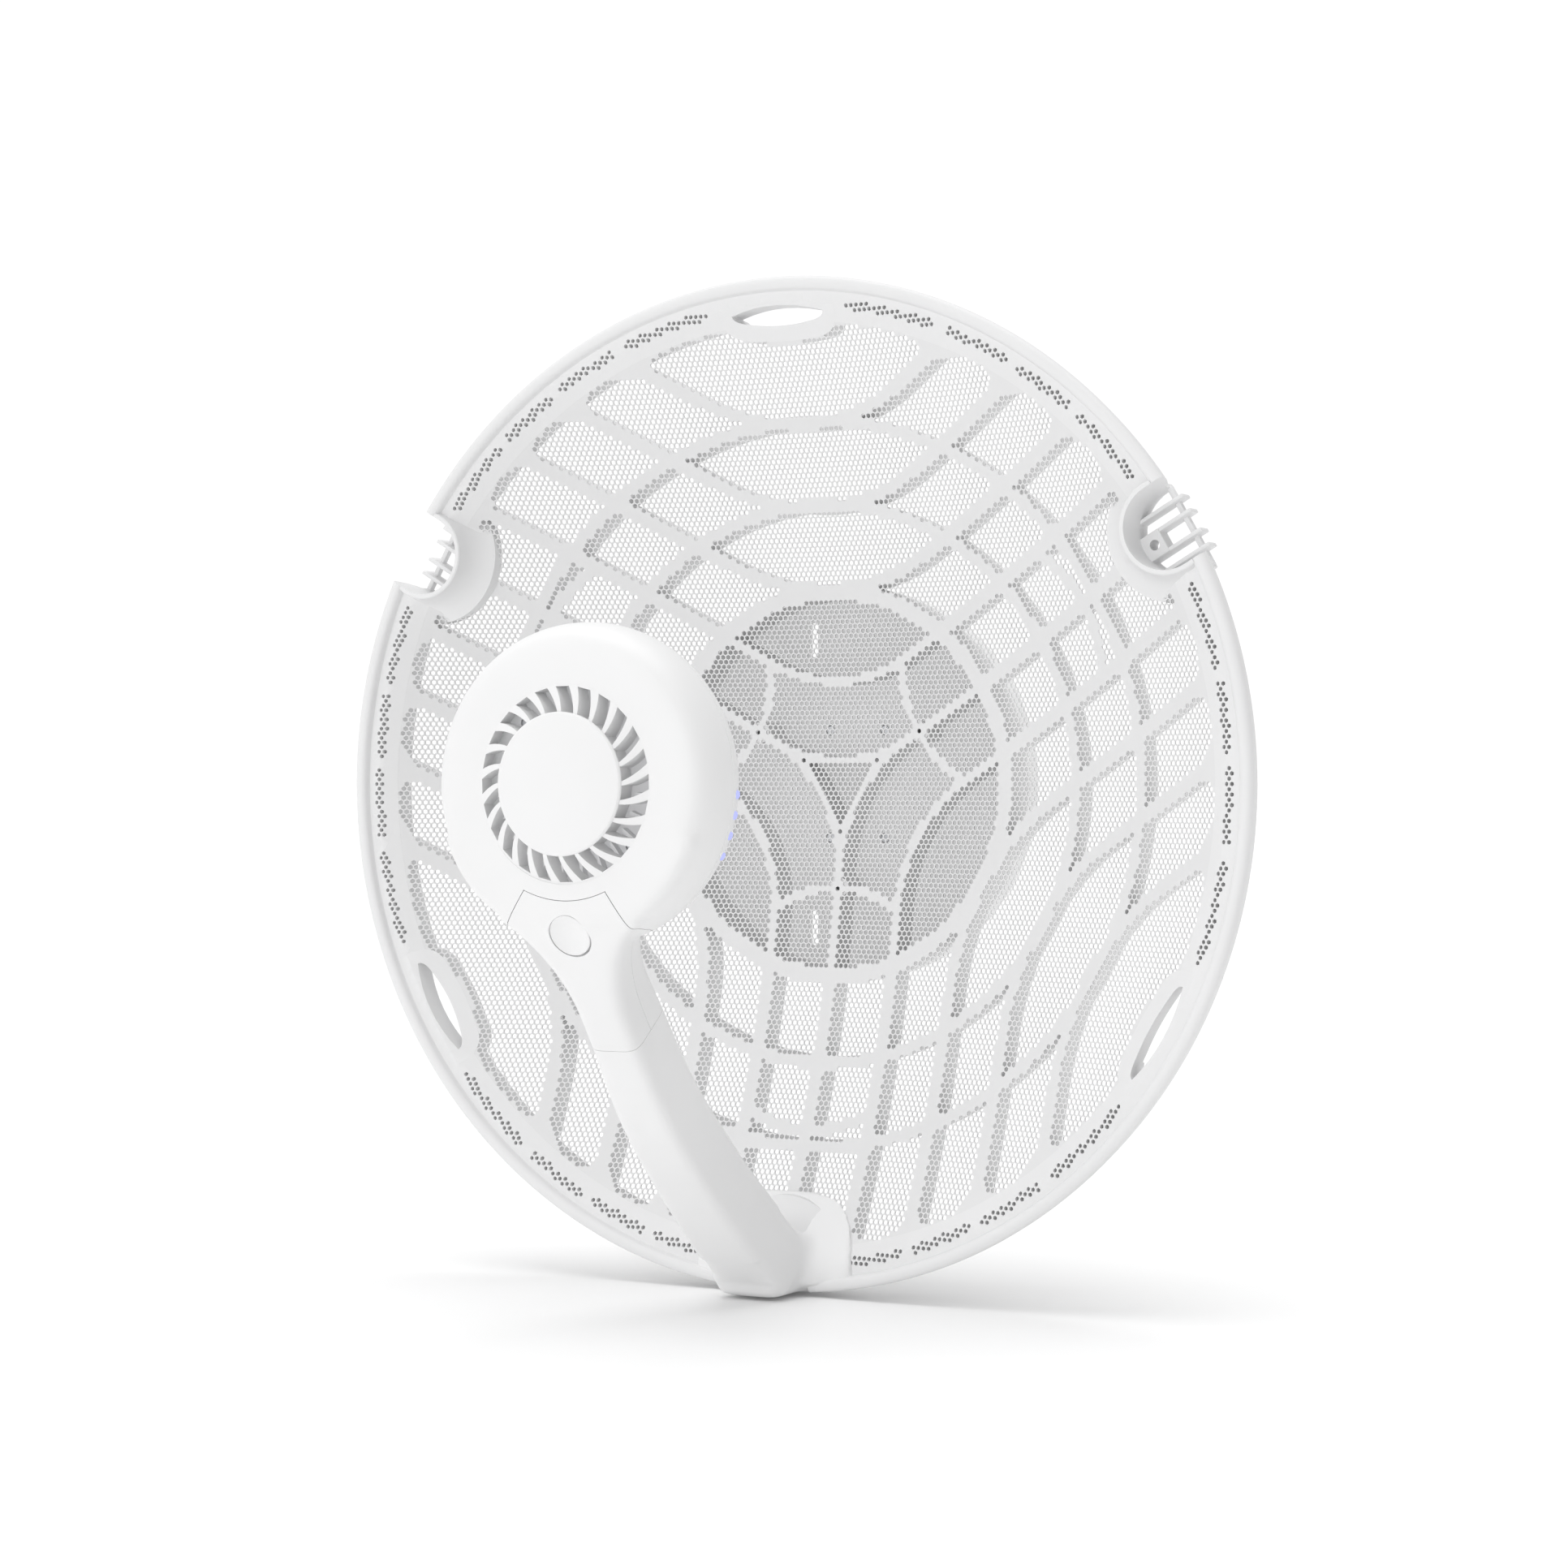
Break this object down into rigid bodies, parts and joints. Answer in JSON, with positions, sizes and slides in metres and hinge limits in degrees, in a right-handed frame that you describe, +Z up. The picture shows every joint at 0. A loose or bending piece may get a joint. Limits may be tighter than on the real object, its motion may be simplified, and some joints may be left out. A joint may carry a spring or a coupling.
{
  "type": "mesh dish antenna",
  "caption": "Round perforated dish antenna with a ribbed frame, a radio head on a curved arm in front of it and a tilting pole bracket behind.",
  "frame": {"origin": "middle of the flat floor of the pole seat, at the rear of the bracket", "axes": "+Z up, -Y the way the dish looks, +Y out of the pole seat towards the pole, X across"},
  "size_m": [0.413, 0.278, 0.4128],
  "materials": {
    "white_shell": "fine satin moulded plastic",
    "white_frame": "fine satin moulded plastic",
    "mesh_paint": "white powder coat on perforated sheet",
    "grey_cover": "satin moulded plastic",
    "bracket_metal": "powder coat",
    "bright_metal": "machined",
    "heat_sink_metal": "cast",
    "steel": "zinc plated",
    "board": "solder mask",
    "thermal_pad": "soft pad",
    "rubber": "matt",
    "bush": "nylon",
    "light_pipe": "lit clear plastic"
  },
  "bodies": {
    "pole_mount": {"pole_bracket": "bracket_metal", "pivot_bush": "bush"},
    "dish": {"mesh_reflector": "mesh_paint", "dish_frame": "white_frame", "head_front_shell": "white_shell", "head_rear_shell": "white_shell", "vent_ring": "white_shell", "vent_cap": "white_shell", "heat_sink": "heat_sink_metal", "main_board": "board", "feed_horn": "bright_metal", "arm": "white_shell", "head_gasket": "rubber", "rf_module": "bright_metal", "thermal_pad": "thermal_pad", "port_board": "board", "ethernet_jack": "bright_metal", "cable_grommet": "rubber", "foot_screw": "steel", "board_screw_1": "steel", "board_screw_2": "steel", "board_screw_3": "steel", "board_screw_4": "steel", "light_pipe_1": "light_pipe", "light_pipe_2": "light_pipe", "light_pipe_3": "light_pipe", "light_pipe_4": "light_pipe", "hub_rear_cover": "grey_cover", "hub_screw_1": "steel", "hub_screw_2": "steel", "hub_screw_3": "steel", "tilt_yoke": "bracket_metal", "yoke_screw_1": "steel", "yoke_screw_2": "steel", "yoke_screw_3": "steel", "yoke_screw_4": "steel", "tilt_bolt": "steel", "tilt_nut": "steel", "washer_left": "steel", "washer_right": "steel"},
    "cover": {"port_cover": "white_shell", "button_spring": "steel"},
    "button": {"cover_button": "white_shell"}
  },
  "joints": [
    {"name": "elevation_tilt", "type": "hinge", "parent": "pole_mount", "child": "dish", "pos_m": [0, -0.012, 0], "axis": [1, 0, 0], "range_deg": [-15, 15]},
    {"name": "cover_swing", "type": "hinge", "parent": "dish", "child": "cover", "pos_m": [0, -0.231, -0.1], "axis": [1, 0, 0], "range_deg": [0, 75]},
    {"name": "button_push", "type": "slide", "parent": "cover", "child": "button", "axis": [0, 0.9088, 0.4173], "range_m": [0, 0.0018], "stiffness_N_per_m": 400, "springref_m": -0.001}
  ]
}
